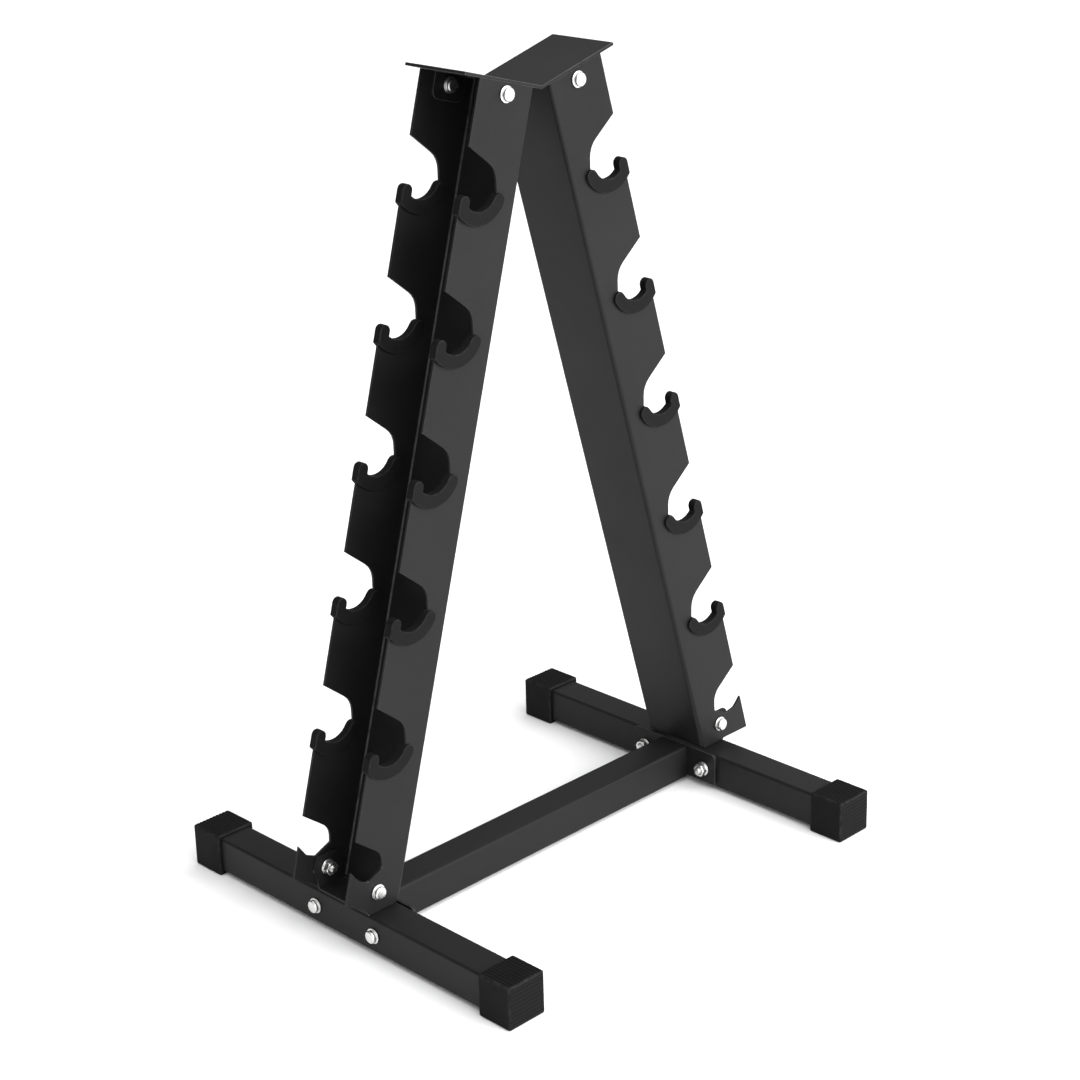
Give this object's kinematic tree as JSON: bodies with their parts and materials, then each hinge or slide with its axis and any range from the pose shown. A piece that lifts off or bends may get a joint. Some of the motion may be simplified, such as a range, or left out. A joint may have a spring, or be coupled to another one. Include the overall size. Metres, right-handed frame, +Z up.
{
  "type": "dumbbell rack",
  "caption": "A-frame rack whose two leaning notched posts hold dumbbells by their handles on padded cradles, bolted to an H base.",
  "frame": {"origin": "on the floor under the middle of the rack", "axes": "+X along the cross tube from the left foot to the right foot, +Y towards the rear along the feet, +Z up"},
  "size_m": [0.5867, 0.47, 0.8305],
  "materials": {
    "black_paint": "satin black powder coat",
    "black_rubber": "matte",
    "zinc": "bright zinc"
  },
  "bodies": {
    "root": {"left_post": "black_paint", "right_post": "black_paint", "top_bracket": "black_paint", "left_foot_tube": "black_paint", "right_foot_tube": "black_paint", "cross_tube": "black_paint", "left_end_plate": "black_paint", "right_end_plate": "black_paint", "left_base_bracket": "black_paint", "right_base_bracket": "black_paint", "left_front_cap": "black_rubber", "left_rear_cap": "black_rubber", "right_front_cap": "black_rubber", "right_rear_cap": "black_rubber", "left_front_pad_1": "black_rubber", "left_front_pad_2": "black_rubber", "left_front_pad_3": "black_rubber", "left_front_pad_4": "black_rubber", "left_front_pad_5": "black_rubber", "left_rear_pad_1": "black_rubber", "left_rear_pad_2": "black_rubber", "left_rear_pad_3": "black_rubber", "left_rear_pad_4": "black_rubber", "left_rear_pad_5": "black_rubber", "right_front_pad_1": "black_rubber", "right_front_pad_2": "black_rubber", "right_front_pad_3": "black_rubber", "right_front_pad_4": "black_rubber", "right_front_pad_5": "black_rubber", "right_rear_pad_1": "black_rubber", "right_rear_pad_2": "black_rubber", "right_rear_pad_3": "black_rubber", "right_rear_pad_4": "black_rubber", "right_rear_pad_5": "black_rubber", "left_front_top_bolt": "zinc", "left_front_top_nut": "zinc", "left_front_low_bolt": "zinc", "left_front_low_nut": "zinc", "left_front_foot_bolt": "zinc", "left_front_foot_nut": "zinc", "left_rear_top_bolt": "zinc", "left_rear_top_nut": "zinc", "left_rear_low_bolt": "zinc", "left_rear_low_nut": "zinc", "left_rear_foot_bolt": "zinc", "left_rear_foot_nut": "zinc", "right_front_top_bolt": "zinc", "right_front_top_nut": "zinc", "right_front_low_bolt": "zinc", "right_front_low_nut": "zinc", "right_front_foot_bolt": "zinc", "right_front_foot_nut": "zinc", "right_rear_top_bolt": "zinc", "right_rear_top_nut": "zinc", "right_rear_low_bolt": "zinc", "right_rear_low_nut": "zinc", "right_rear_foot_bolt": "zinc", "right_rear_foot_nut": "zinc"}
  },
  "joints": []
}
